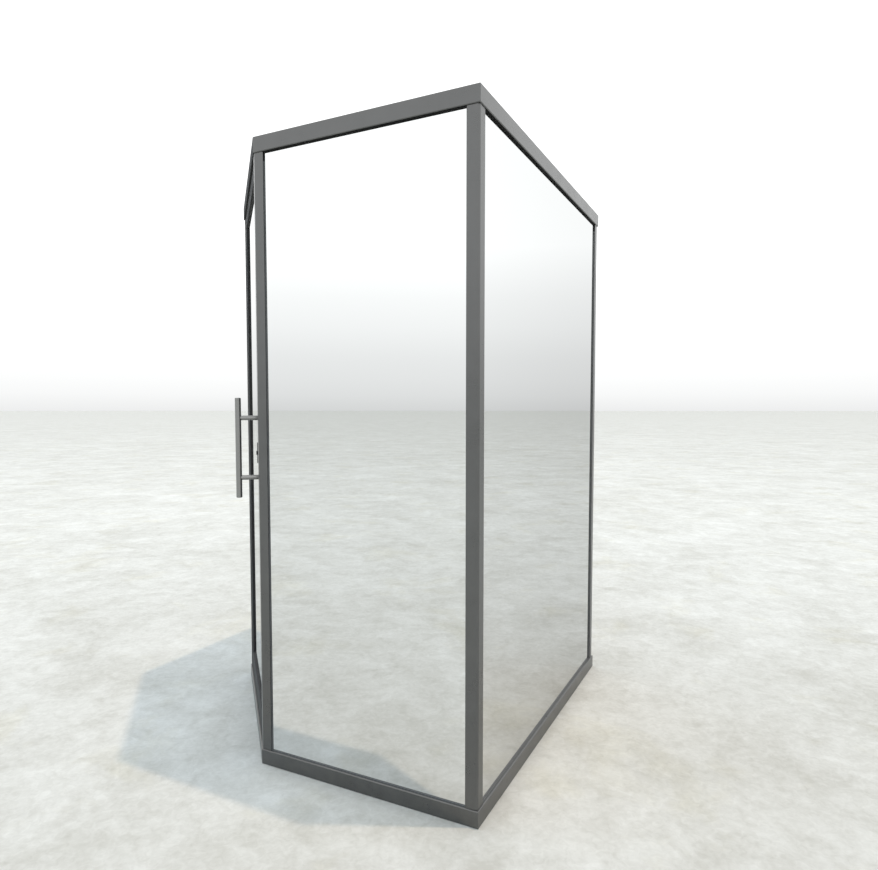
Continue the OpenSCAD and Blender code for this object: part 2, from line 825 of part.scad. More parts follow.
// Face plate with the key holes, the loudspeaker's grille and the microphone's hole
module phone_plate() {
    color("silver") difference() {
        in_corner() box([face_x, -phone_w / 2, phone_z - phone_h / 2],
            [face_x + face_t, phone_w / 2, phone_z + phone_h / 2]);
        for (k = [0 : len(KEYS) - 1]) at_key(k) translate([0, 0, -eps])
            cylinder(d = key_d + 2 * slack, h = face_t + 2 * eps);
        in_corner() translate([face_x - eps, 0, speaker_z]) rotate([0, 90, 0]) grille(face_t + 2 * eps);
        in_corner() translate([face_x - eps, 0, keypad_z - pocket_h / 2 - mic_drop]) rotate([0, 90, 0])
            cylinder(d = mic_d, h = face_t + 2 * eps);
    }
}

// Round holes on rings
module grille(depth) {
    hole_d = 4;
    ring_step = 8;
    cylinder(d = hole_d, h = depth);
    for (ring = [1 : 3], j = [0 : 6 * ring - 1])
        rotate(j * 60 / ring) translate([ring * ring_step, 0, 0]) cylinder(d = hole_d, h = depth);
}

// A key with a flange that keeps it behind the plate
module key(k) {
    r = key_d / 2;
    top = face_t + key_stand;
    bevel = 0.8;
    color("whitesmoke") at_key(k) rotate_extrude() polygon([
        [0, -slack - flange_t], [r + flange_over, -slack - flange_t], [r + flange_over, -slack],
        [r, -slack], [r, top - bevel], [r - bevel, top], [0, top]
    ]);
}

for (i = [0 : 3]) post(i);
strike_post();  // post_strike
for (i = [0 : 4]) base_rail(i);
for (i = [0 : 4]) cap_rail(i);
for (i = [0 : 3]) pane(PANE_SIDES[i]);
wall_gaskets([0, 1]);  // wide_gaskets
wall_gaskets([2, 4]);  // narrow_gaskets
roof_panel();
floor_panel();
anchor_brackets();
light_housing();
light_lens();
corner_panel();
phone_case();
phone_plate();
top_pivot();
bottom_pivot();
strike_plate();
door_seal();
hinge_stile();
lock_stile();
door_top_rail();
door_bottom_rail();
door_glass();
door_gasket();
pivot_blocks();
handle_bar();
handle_standoffs();
handle_bolts();
lock_case();
lock_escutcheons();
lock_cylinder();
thumb_turn();
deadbolt();
for (k = [0 : len(KEYS) - 1]) key(k);
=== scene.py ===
"""Looks of a five-sided mirror-glass telephone booth.

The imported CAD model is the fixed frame. This script gives every CAD node its finish, adds the small
pieces that the construction leaves out, and sets the floor, the light and the camera.
"""

import itertools
import json
import logging
import math
from dataclasses import dataclass
from enum import Enum

import bpy
import numpy as np
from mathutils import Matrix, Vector


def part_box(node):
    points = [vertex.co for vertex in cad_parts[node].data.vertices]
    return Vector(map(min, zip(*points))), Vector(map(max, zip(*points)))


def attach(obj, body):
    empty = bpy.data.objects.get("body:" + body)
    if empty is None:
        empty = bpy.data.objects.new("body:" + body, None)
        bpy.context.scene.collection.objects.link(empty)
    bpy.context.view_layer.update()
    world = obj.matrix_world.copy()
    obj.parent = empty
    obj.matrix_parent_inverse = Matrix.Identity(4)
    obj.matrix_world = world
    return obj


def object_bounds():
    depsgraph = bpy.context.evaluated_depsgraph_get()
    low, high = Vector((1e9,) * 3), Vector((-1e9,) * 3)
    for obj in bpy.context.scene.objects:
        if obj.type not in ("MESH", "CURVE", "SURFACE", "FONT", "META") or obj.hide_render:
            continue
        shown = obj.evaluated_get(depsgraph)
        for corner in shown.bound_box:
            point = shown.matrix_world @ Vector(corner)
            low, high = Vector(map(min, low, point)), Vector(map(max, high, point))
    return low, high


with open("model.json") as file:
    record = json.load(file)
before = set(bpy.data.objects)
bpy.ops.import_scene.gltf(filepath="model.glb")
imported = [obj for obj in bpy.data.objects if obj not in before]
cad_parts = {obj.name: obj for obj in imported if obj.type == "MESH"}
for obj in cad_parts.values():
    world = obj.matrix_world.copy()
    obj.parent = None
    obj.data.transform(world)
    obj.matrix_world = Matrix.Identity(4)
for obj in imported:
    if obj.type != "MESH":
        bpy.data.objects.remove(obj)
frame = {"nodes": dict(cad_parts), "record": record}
CAD_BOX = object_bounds()
LOG = logging.getLogger("booth")
MM = 0.001

Array = np.ndarray
Mesh = tuple[Array, list]
Color = tuple[float, float, float]
Pair = tuple[float, float]
Four = tuple[float, float, float, float]
Steps = tuple[Pair, ...]
Node, Socket, Tree = bpy.types.Node, bpy.types.NodeSocket, bpy.types.NodeTree
Outputs = bpy.types.NodeOutputs
Given = Socket | Color | float
Inputs = dict[str | int, Given]


def add_object(name: str, data: bpy.types.ID) -> bpy.types.Object:
    """Adds an object to the scene."""
    made = bpy.data.objects.new(name, data)
    bpy.context.scene.collection.objects.link(made)
    return made


# ---------------- plan and places


def vertices(mesh: bpy.types.Mesh) -> Array:
    """A mesh's vertices, one row each."""
    points = np.empty(len(mesh.vertices) * 3)
    mesh.vertices.foreach_get("co", points)
    return points.reshape(-1, 3)


@dataclass(frozen=True)
class Place:
    """A right-handed set of axes with an origin, in the row frame.

    Attributes:
        origin: its zero point.
        axes: three unit vectors, one per row: the local x, y and z.
    """

    origin: Array
    axes: Array

    @classmethod
    def facing(cls, origin: Array, out: Array, up: Array) -> "Place":
        """Axes at a point, with z outwards, y up, and x as their cross product."""
        return cls(origin, np.array([np.cross(up, out), up, out]))

    def front(self, point: list[float]) -> "Place":
        """Axes at a local point, with z along this place's x and y along its z."""
        return Place.facing(self.put(np.array(point)), self.axes[0], self.axes[2])

    def top(self, node: str) -> "Place":
        """Axes on the middle of a CAD node's outer face, with z along this place's x."""
        low, high = self.box(node)
        return self.front([high[0], *(low + high)[1:] / 2])

    def put(self, points: Array) -> Array:
        """Moves points from the local axes into the row frame: origin plus points times axes."""
        return self.origin + points @ self.axes

    def carry(self, mesh: Mesh) -> Mesh:
        """Moves a mesh from the local axes into the row frame."""
        return self.put(mesh[0]), mesh[1]

    def box(self, node: str) -> tuple[Array, Array]:
        """Lowest and highest corner of a CAD node, in the place's coordinates."""
        local = (vertices(frame["nodes"][node].data) - self.origin) @ self.axes.T
        return local.min(0), local.max(0)


@dataclass(frozen=True)
class Plan:
    """The plan of the booth, read off the frame.

    Attributes:
        half: half of the square plan's side.
        cut: how far the door corner is cut back.
        rail_depth: depth of the base and cap rails.
        height: overall height.
    """

    half: float
    cut: float
    rail_depth: float
    height: float

    @classmethod
    def from_frame(cls) -> "Plan":
        """Reads the plan's sizes off the frame's own boxes."""
        low, high = CAD_BOX
        rail_low, rail_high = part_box("base_rail_front")
        half = (high.x - low.x) / 2
        return cls(half, rail_low.x + half, rail_high.y - rail_low.y, high.z)

    def outline(self, inset: float) -> Array:
        """The plan's five corners, moved inwards.

        Each side is moved along its own inward normal, and neighbouring sides are met again at the
        mitre: corner plus inset times (normal plus direction times the cotangent of half the angle).

        Args:
            inset: how far every side moves inwards.

        Returns:
            Five points, anticlockwise from the front right corner.
        """
        h, c = self.half, self.cut
        corners = np.array([[h, -h], [h, h], [-h, h], [-h, c - h], [c - h, -h]])
        along = np.roll(corners, -1, axis=0) - corners
        along /= np.linalg.norm(along, axis=1)[:, None]
        inward = np.stack([-along[:, 1], along[:, 0]], axis=1)
        mitre = 1 / np.tan(np.radians([90, 90, 90, 135, 135]) / 2)
        return corners + inset * (inward + along * mitre[:, None])

    def corner_place(self, corner: int, inwards: tuple[int, int]) -> Place:
        """Axes at a numbered corner of the plan, with z up and y along a diagonal."""
        y = np.array([*inwards, 0]) * math.sqrt(0.5)
        return Place.facing(np.append(self.outline(0)[corner], 0.0), np.array([0, 0, 1]), y)

    def door_side(self) -> Place:
        """Axes of the door side: x from the hinge corner to the lock corner, y inwards, z up."""
        return self.corner_place(3, (1, 1))

    def telephone_side(self) -> Place:
        """Axes of the telephone: x out of the rear corner towards the door, z up."""
        return self.corner_place(1, (1, -1))


# ---------------- surfaces


def turn(sides: int) -> Array:
    """Angles spread evenly over a full turn."""
    return np.linspace(0, 2 * math.pi, sides, endpoint=False)


def ring_faces(rows: int, columns: int) -> Array:
    """Quads between neighbouring points of a grid whose rows are rings, stored row by row.

    Args:
        rows: number of rows.
        columns: number of points in a row.

    Returns:
        The quads, wound so that they face away from the axis when the rows rise.
    """
    i, j = np.meshgrid(np.arange(rows - 1), np.arange(columns), indexing="ij")
    k = (j + 1) % columns
    quads = [i * columns + j, i * columns + k, (i + 1) * columns + k, (i + 1) * columns + j]
    return np.stack(quads, -1).reshape(-1, 4)


def revolve(radii: Array, heights: Array, sides: int) -> Mesh:
    """A surface of revolution about z, closed at both ends by fans.

    Point (i, j) is (r_i cos t_j, r_i sin t_j, h_i), with t_j spread evenly over a full turn. r may be
    a row of numbers, or a grid of one radius for each row and column, as for a socket with flats.

    Args:
        radii: one radius a row, or one a row and column.
        heights: one height a row, rising along the outer wall.
        sides: number of columns.

    Returns:
        The vertices and faces.
    """
    t = turn(sides)
    r = radii if radii.ndim == 2 else np.repeat(radii[:, None], sides, axis=1)
    z = np.repeat(heights[:, None], sides, axis=1)
    points = np.stack([r * np.cos(t), r * np.sin(t), z], -1).reshape(-1, 3)
    ends = np.array([[0, 0, heights[0]], [0, 0, heights[-1]]])
    low, high = len(points), len(points) + 1
    top = low - sides
    faces = ring_faces(len(heights), sides).tolist()
    faces += [[low, (j + 1) % sides, j] for j in range(sides)]
    faces += [[high, top + j, top + (j + 1) % sides] for j in range(sides)]
    return np.vstack([points, ends]), faces


def repeated(mesh: Mesh, places: list[Place]) -> Mesh:
    """A mesh once at each place, as one mesh.

    Args:
        mesh: the mesh to repeat.
        places: where it stands.

    Returns:
        All vertices stacked, and the faces with their numbers moved on to match.
    """
    points, faces = mesh
    starts = np.arange(len(places)) * len(points)
    return (np.vstack([place.put(points) for place in places]),
            [[k + start for k in face] for start in starts.tolist() for face in faces])


@dataclass(frozen=True)
class Screw:
    """A round-headed screw with a hexagon socket.

    Attributes:
        head: radius of the head.
        rise: height of the head, if its dome were whole.
        socket: half the width across the socket's flats.
        dome: angles of the dome's rings, in degrees up from the rim.
        depth: depth of the socket, as a part of the rise.
        taper: width of the socket's floor, as a part of its mouth.
        sides: number of points on a ring.
    """

    head: float
    rise: float
    socket: float
    dome: tuple[float, ...] = (0, 20, 40, 58)
    depth: float = 0.55
    taper: float = 0.97
    sides: int = 24

    def mesh(self) -> Mesh:
        """The screw, standing on z = 0.

        The head is a revolve of a dome profile, r = head cos(a) and z = rise sin(a). The socket's
        wall follows the hexagon's own radius, socket / cos(t - the nearest flat's angle).

        Returns:
            The vertices and faces.
        """
        sector = math.pi / 3
        flats = self.socket / np.cos((turn(self.sides) + sector / 2) % sector - sector / 2)
        angles = np.radians(self.dome)
        rings = np.outer(self.head * np.cos(angles), np.ones(self.sides))
        top = self.rise * math.sin(angles[-1])
        heights = np.concatenate([self.rise * np.sin(angles), [top, top - self.rise * self.depth]])
        return revolve(np.vstack([rings, flats, flats * self.taper]), heights, self.sides)


@dataclass(frozen=True)
class Stud:
    """A low round stud.

    Attributes:
        radius: radius of the foot.
        rise: height of the stud.
        shoulder: radius and height of the shoulder, as parts of the radius and the rise.
        crown: radius of the crown, as a part of the radius.
        sides: number of points on a ring.
    """

    radius: float
    rise: float
    shoulder: Pair = (0.86, 0.8)
    crown: float = 0.6
    sides: int = 12

    def mesh(self) -> Mesh:
        """The stud, standing on z = 0: three rings, r times (cos t, sin t), and a middle point."""
        t, n = turn(self.sides), self.sides
        ring = np.stack([np.cos(t), np.sin(t), np.zeros(n)], -1) * self.radius
        wide, high = self.shoulder
        top = [0, 0, self.rise]
        points = np.vstack([ring, ring * wide + [0, 0, self.rise * high], ring * self.crown + top, [top]])
        fan = [[3 * n, 2 * n + j, 2 * n + (j + 1) % n] for j in range(n)]
        return points, ring_faces(3, n).tolist() + fan


# ---------------- shader nodes


class Sheet:
    """A node tree that is filled node by node."""

    def __init__(self, tree: Tree) -> None:
        """Keeps the tree."""
        self.tree = tree

    def fill(self, node: Node, inputs: Inputs) -> None:
        """Fills a node's input sockets. A colour is given without its alpha.

        Args:
            node: the node.
            inputs: socket name or number to a value, or to the socket that feeds it.
        """
        for key, value in inputs.items():
            socket = node.inputs[key]
            if isinstance(value, Socket):
                self.tree.links.new(value, socket)
            elif socket.type == "RGBA":
                socket.default_value = (*value, 1.0)
            else:
                socket.default_value = value

    def add(self, kind: str, inputs: Inputs | None = None, **settings: object) -> Node:
        """Adds a node and fills its sockets.

        Args:
            kind: the node's type name, without the leading "ShaderNode".
            inputs: socket name or number to a value, or to the socket that feeds it.
            **settings: the node's own properties.

        Returns:
            The new node.
        """
        node = self.tree.nodes.new("ShaderNode" + kind)
        for key, value in settings.items():
            setattr(node, key, value)
        self.fill(node, inputs or {})
        return node

    def place(self) -> Socket:
        """Adds the Object coordinates."""
        return self.add("TexCoord").outputs["Object"]

    def height(self, vector: Socket) -> Socket:
        """Adds a node that reads the z part of a vector."""
        return self.add("SeparateXYZ", {0: vector}).outputs["Z"]

    def noise(self, place: Socket, scale: Given, detail: float, **more: float) -> Socket:
        """Adds a Noise node of a scale and a detail, with more of its inputs by name."""
        inputs = {"Vector": place, "Scale": scale, "Detail": detail, **more}
        return self.add("TexNoise", inputs).outputs["Fac"]

    def math(self, operation: str, *values: Given, clamp: bool = False) -> Socket:
        """Adds a Math node of some values, with its result kept within 0 and 1 if it is clamped."""
        return self.add("Math", dict(enumerate(values)), operation=operation, use_clamp=clamp).outputs[0]

    def spread(self, value: Socket, low: Given, high: Given, start: Given = 0.0,
               end: Given = 1.0) -> Socket:
        """Maps low to high onto another range, 0 to 1 unless it is given, and stays within it."""
        return self.add("MapRange", {0: value, 1: low, 2: high, 3: start, 4: end}).outputs[0]

    def mix(self, factor: Given, first: Given, second: Given, blend: str = "MIX") -> Socket:
        """Mixes two colours. The factor says how much of the second."""
        inputs = {0: factor, 6: first, 7: second}
        return self.add("Mix", inputs, data_type="RGBA", clamp_factor=True, blend_type=blend).outputs[2]

    def scaled(self, color: Given, factor: Socket) -> Socket:
        """Multiplies a colour by a number."""
        return self.add("VectorMath", {0: color, "Scale": factor}, operation="SCALE").outputs[0]

    def ramp(self, value: Socket, steps: Steps, tint: Color = (1.0, 1.0, 1.0)) -> Socket:
        """Adds a Color Ramp of greys.

        Args:
            value: the socket that is read.
            steps: position and grey of each stop, rising.
            tint: colour that every grey is multiplied by.

        Returns:
            The ramp's colour.
        """
        node = self.add("ValToRGB", {0: value})
        stops = node.color_ramp.elements
        while len(stops) < len(steps):
            stops.new(0.5)
        for stop, (at, grey) in zip(stops, steps):
            stop.position = at
            stop.color = (*(grey * part for part in tint), 1.0)
        return node.outputs[0]

    def group(self, tree: Tree, **inputs: Given) -> Outputs:
        """Places a shared group, with its inputs by name."""
        return self.add("Group", inputs, node_tree=tree).outputs


def new_group(name: str, inputs: str, outputs: str) -> tuple[Tree, Sheet, Outputs, Node]:
    """Starts a shader group.

    Args:
        name: the group's name.
        inputs: names of the inputs, with a space between them.
        outputs: names of the outputs.

    Returns:
        The group, its sheet, the sockets that give its inputs, and its output node.
    """
    tree = bpy.data.node_groups.new(name, "ShaderNodeTree")
    for way, labels in (("INPUT", inputs), ("OUTPUT", outputs)):
        for label in labels.split():
            kind = "NodeSocketVector" if label in ("Normal", "Stretch") else "NodeSocketFloat"
            tree.interface.new_socket(name=label, in_out=way, socket_type=kind)
    given = tree.nodes.new("NodeGroupInput").outputs
    return tree, Sheet(tree), given, tree.nodes.new("NodeGroupOutput")


class SharedEffects:
    """The effects that more than one finish uses, each one group.

    Attributes:
        turned: cosines between the true and the rounded normal where wear begins and is full.
        patches: noise values where a worn patch begins and is full.
        fine: the fine noise's share of the grain.
        broad: the broad noise's scale, as a part of the fine one's.
        noise_span: noise values that become Low and High.
        level: z parts of the normal where dust begins to settle and settles in full.
        settled: dust on level faces, against the dust at the ground.
        clouds: scale of the dust's clouds.
        cloud_span: noise values where those begin and are full.
    """

    turned = (0.995, 0.85)
    patches = (0.42, 0.62)
    fine = 0.35
    broad = 0.02
    noise_span = (0.3, 0.7)
    level = (0.5, 1.0)
    settled = 0.6
    clouds = 22.0
    cloud_span = (0.3, 0.75)

    def __init__(self) -> None:
        """Builds the groups once."""
        self.edges = self._edges()
        self.grain = self._grain()
        self.dust = self._dust()
        self.brush = self._brush()

    def _edges(self) -> Tree:
        """Soft edges: the normal rounded over Radius, and a Mask of the worn part of the edge."""
        tree, s, given, result = new_group("soft_edges", "Radius Wear Scale", "Mask Normal")
        bevel = s.add("Bevel", {"Radius": given["Radius"]}, samples=4).outputs[0]
        flat = s.add("NewGeometry").outputs["Normal"]
        dot = s.add("VectorMath", {0: bevel, 1: flat}, operation="DOT_PRODUCT").outputs["Value"]
        patchy = s.spread(s.noise(s.place(), given["Scale"], 4.0), *self.patches)
        worn = s.math("MULTIPLY", s.spread(dot, *self.turned), patchy)
        mask = s.math("MULTIPLY", worn, given["Wear"])
        s.fill(result, {"Mask": mask, "Normal": bevel})
        return tree

    def _grain(self) -> Tree:
        """Fine grain: a Value between Low and High, and a Height for a bump."""
        tree, s, given, result = new_group("fine_grain", "Scale Low High", "Value Height")
        place = s.place()
        fine = s.noise(place, given["Scale"], 3.0)
        broad = s.noise(place, s.math("MULTIPLY", given["Scale"], self.broad), 5.0)
        both = s.math("ADD", s.math("MULTIPLY", fine, self.fine),
                      s.math("MULTIPLY", broad, 1 - self.fine))
        value = s.spread(both, *self.noise_span, given["Low"], given["High"])
        s.fill(result, {"Value": value, "Height": fine})
        return tree

    def _dust(self) -> Tree:
        """Dust: strongest at the ground and on faces that look up, fading out at Reach."""
        tree, s, given, result = new_group("ground_dust", "Reach Amount", "Mask")
        place = s.place()
        low = s.spread(s.height(place), 0.0, given["Reach"], 1.0, 0.0)
        facing = s.height(s.add("NewGeometry").outputs["Normal"])
        settled = s.math("MULTIPLY", s.spread(facing, *self.level), self.settled)
        fallen = s.math("MAXIMUM", s.math("POWER", low, 2.0), settled)
        cloudy = s.spread(s.noise(place, self.clouds, 6.0, Roughness=0.65), *self.cloud_span)
        mask = s.math("MULTIPLY", s.math("MULTIPLY", fallen, cloudy), given["Amount"], clamp=True)
        s.fill(result, {"Mask": mask})
        return tree

    def _brush(self) -> Tree:
        """Brushed lines: noise stretched by Stretch, as a Value between Low and High and a Height."""
        tree, s, given, result = new_group("brushed_lines", "Stretch Low High", "Value Height")
        stretched = s.add("VectorMath", {0: s.place(), 1: given["Stretch"]}, operation="MULTIPLY")
        lines = s.noise(stretched.outputs[0], 1.0, 3.0)
        value = s.spread(lines, *self.noise_span, given["Low"], given["High"])
        s.fill(result, {"Value": value, "Height": lines})
        return tree


EFFECTS = SharedEffects()


# ---------------- finishes


@dataclass(frozen=True)
class Finish:
    """A finish with a colour and a roughness. Each kind dresses its own Principled BSDF.

    Attributes:
        name: the material's name.
        color: base colour, linear.
        roughness: the middle roughness.
    """

    name: str
    color: Color
    roughness: float

    def build(self) -> bpy.types.Material:
        """Makes the material and lets the kind dress it."""
        material = bpy.data.materials.new(self.name)
        material.use_nodes = True
        s = Sheet(material.node_tree)
        bsdf = material.node_tree.nodes["Principled BSDF"]
        s.fill(bsdf, {"Base Color": self.color, "Roughness": self.roughness})
        self.dress(s, bsdf)
        return material

    def dress(self, s: Sheet, bsdf: Node) -> None:
        """Adds the kind's own nodes."""
        raise NotImplementedError(self.name)

    def shade(self, part: float) -> Color:
        """The base colour, scaled."""
        return tuple(min(1.0, c * part) for c in self.color)


@dataclass(frozen=True)
class Grained(Finish):
    """A finish whose roughness moves about the middle one.

    Attributes:
        texture: scale of the grain.
        uneven: how far the roughness goes below and above the middle.
    """

    texture: float = 300.0
    uneven: Pair = (0.05, 0.05)

    def span(self) -> Pair:
        """The lowest and the highest roughness."""
        return self.roughness - self.uneven[0], self.roughness + self.uneven[1]

    def grain(self, s: Sheet) -> Outputs:
        """Fine grain, with its value within the span."""
        low, high = self.span()
        return s.group(EFFECTS.grain, Scale=self.texture, Low=low, High=high)


@dataclass(frozen=True)
class Worn(Grained):
    """A finish with softened edges that are worn brighter, and a shallow relief.

    Attributes:
        relief: strength of the relief, and its depth in metres.
        edge: radius of the softened edges, how much they are worn, the scale of the worn patches,
            and their tone against the colour.
    """

    relief: Pair = (0.3, 0.0003)
    edge: Four = (0.0008, 0.2, 70.0, 1.6)

    def worn(self, s: Sheet, bsdf: Node, height: Socket, tone: Given) -> Socket:
        """Feeds the relief and the soft edges into the shader's normal, and wears the edges.

        Args:
            s: the material's sheet.
            bsdf: its shader.
            height: the relief's height.
            tone: colour of the faces.

        Returns:
            The colour with its worn edges.
        """
        radius, wear, scale, edge_tone = self.edge
        edge = s.group(EFFECTS.edges, Radius=radius, Wear=wear, Scale=scale)
        strength, depth = self.relief
        bump = s.add("Bump", {"Height": height, "Strength": strength, "Distance": depth,
                              "Normal": edge["Normal"]})
        s.fill(bsdf, {"Normal": bump.outputs[0]})
        return s.mix(edge["Mask"], tone, self.shade(edge_tone))


@dataclass(frozen=True)
class Dusted(Worn):
    """A worn, grained finish with a little dust near the ground and on faces that look up.

    Attributes:
        mottle: how much the tone varies, up and down.
        dust: how much dust lies on it.
        dust_reach: height that the dust reaches.
        dust_rough: how much rougher the dust is.
        dust_tone: colour of the dust.
        flake: share of metal flake in it.
        gloss: specular level.
        rim: how bright it reflects at a grazing angle.
    """

    mottle: float = 0.0
    dust: float = 0.2
    dust_reach: float = 0.3
    dust_rough: float = 0.0
    dust_tone: Color = (0.36, 0.35, 0.33)
    flake: float = 0.0
    gloss: float = 0.5
    rim: float = 1.0

    def dress(self, s: Sheet, bsdf: Node) -> None:
        """Colour varies a little, edges are brighter where worn, and dust dulls the foot."""
        grain = self.grain(s)
        varied = s.mix(s.spread(grain["Value"], *self.span()), self.shade(1 - self.mottle),
                       self.shade(1 + self.mottle))
        dust = s.group(EFFECTS.dust, Reach=self.dust_reach, Amount=self.dust)["Mask"]
        tone = s.mix(dust, self.worn(s, bsdf, grain["Height"], varied), self.dust_tone)
        rough = s.math("ADD", grain["Value"], s.math("MULTIPLY", dust, self.dust_rough))
        s.fill(bsdf, {"Metallic": self.flake, "Specular IOR Level": self.gloss, "Base Color": tone,
                      "Specular Tint": (self.rim, self.rim, self.rim), "Roughness": rough})


@dataclass(frozen=True)
class PowderCoat(Dusted):
    """Satin powder coat on metal, with fine orange peel."""

    texture: float = 700.0
    uneven: Pair = (0.05, 0.06)
    relief: Pair = (0.06, 0.0001)
    edge: Four = (0.0009, 0.35, 45.0, 1.9)
    mottle: float = 0.07
    dust: float = 0.12
    dust_reach: float = 0.35
    dust_rough: float = 0.3
    dust_tone: Color = (0.42, 0.40, 0.37)
    flake: float = 0.85


@dataclass(frozen=True)
class Moulded(Dusted):
    """Moulded plastic, rubber or laminate, with a fine texture."""

    texture: float = 700.0
    uneven: Pair = (0.07, 0.07)


@dataclass(frozen=True)
class GasketWithPaintedShade(Moulded):
    """Glazing rubber: grey beside and below the panes, and very dark under the cap rails as painted
    shade.

    Attributes:
        below: colour of the grey rubber.
        clouds: how much the grey varies, up and down.
        drip: how far the dark painted shade reaches down from the cap rails.
        fade: height over which one turns into the other.
    """

    gloss: float = 0.15
    below: Color = (0.15, 0.152, 0.15)
    clouds: float = 0.1
    drip: float = 0.016
    fade: float = 0.001

    def dress(self, s: Sheet, bsdf: Node) -> None:
        """The moulded texture, under a colour that changes at the top of the grey rubber; above it the
        dark base colour is painted shade.
        """
        super().dress(s, bsdf)
        # the rubber's own dark colour, kept above the grey as painted shade under the cap rails
        painted_shade_black = bsdf.inputs["Base Color"].links[0].from_socket
        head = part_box("cap_rail_door")[0].z - self.drip
        share = s.spread(s.height(s.place()), head, head + self.fade)
        grain = s.group(EFFECTS.grain, Scale=self.texture, Low=1 - self.clouds, High=1 + self.clouds)
        grey = s.scaled(self.below, grain["Value"])
        s.fill(bsdf, {"Base Color": s.mix(share, grey, painted_shade_black)})


@dataclass(frozen=True)
class MirrorGlass(Grained):
    """Two-way mirror glass: a plain metal-like reflection, dulled by a film of dust at the foot.

    Attributes:
        edge_tint: colour of the reflection at a grazing angle.
        film: height that the dust reaches, its amount, its tone against the colour, and how much
            rougher it is.
    """

    texture: float = 180.0
    uneven: Pair = (0.01, 0.002)
    edge_tint: Color = (0.78, 0.78, 0.78)
    film: Four = (0.5, 0.10, 0.9, 0.25)

    def dress(self, s: Sheet, bsdf: Node) -> None:
        """Smears and dust only change the roughness and the colour, by very little."""
        reach, amount, tone, rougher = self.film
        dust = s.group(EFFECTS.dust, Reach=reach, Amount=amount)["Mask"]
        rough = s.math("ADD", self.grain(s)["Value"], s.math("MULTIPLY", dust, rougher))
        s.fill(bsdf, {"Metallic": 1.0, "Specular Tint": self.edge_tint, "Roughness": rough,
                      "Base Color": s.mix(dust, self.color, self.shade(tone))})


@dataclass(frozen=True)
class BrushedSteel(Worn):
    """Brushed stainless steel, with upright lines.

    Attributes:
        lengthwise: scale of the lines along themselves; the texture is their scale across.
    """

    texture: float = 1100.0
    uneven: Pair = (0.08, 0.1)
    relief: Pair = (0.08, 0.0002)
    edge: Four = (0.0006, 0.4, 80.0, 1.25)
    lengthwise: float = 14.0

    def dress(self, s: Sheet, bsdf: Node) -> None:
        """Lines change the roughness and cut a shallow relief, and edges are softened."""
        low, high = self.span()
        stretch = (self.texture, self.texture, self.lengthwise)
        lines = s.group(EFFECTS.brush, Stretch=stretch, Low=low, High=high)
        tone = self.worn(s, bsdf, lines["Height"], self.color)
        s.fill(bsdf, {"Metallic": 1.0, "Base Color": tone, "Roughness": lines["Value"]})


@dataclass(frozen=True)
class Galvanised(Grained):
    """Galvanised steel with its spangle, as cells of slightly different brightness.

    Attributes:
        mottle: how much the tone varies, up and down.
    """

    texture: float = 110.0
    uneven: Pair = (0.08, 0.12)
    mottle: float = 0.2

    def dress(self, s: Sheet, bsdf: Node) -> None:
        """Cells vary the colour and the roughness."""
        cells = s.add("TexVoronoi", {"Vector": s.place(), "Scale": self.texture})
        value = s.add("SeparateXYZ", {0: cells.outputs["Color"]}).outputs["X"]
        tone = s.mix(value, self.shade(1 - self.mottle), self.shade(1 + self.mottle))
        s.fill(bsdf, {"Metallic": 1.0, "Base Color": tone,
                      "Roughness": s.spread(value, 0.0, 1.0, *self.span())})


@dataclass(frozen=True)
class Opal(Grained):
    """Opal diffuser of the ceiling light, which lets a little light through.

    Attributes:
        milk: share of the light that scatters inside.
        glow: colour of the faint glow.
        glow_strength: strength of the glow.
    """

    milk: float = 0.3
    glow: Color = (1.0, 0.97, 0.92)
    glow_strength: float = 0.4

    def dress(self, s: Sheet, bsdf: Node) -> None:
        """A fine grain in the roughness, under a plain subsurface and a faint glow."""
        s.fill(bsdf, {"Roughness": self.grain(s)["Value"], "Subsurface Weight": self.milk,
                      "Emission Color": self.glow, "Emission Strength": self.glow_strength})


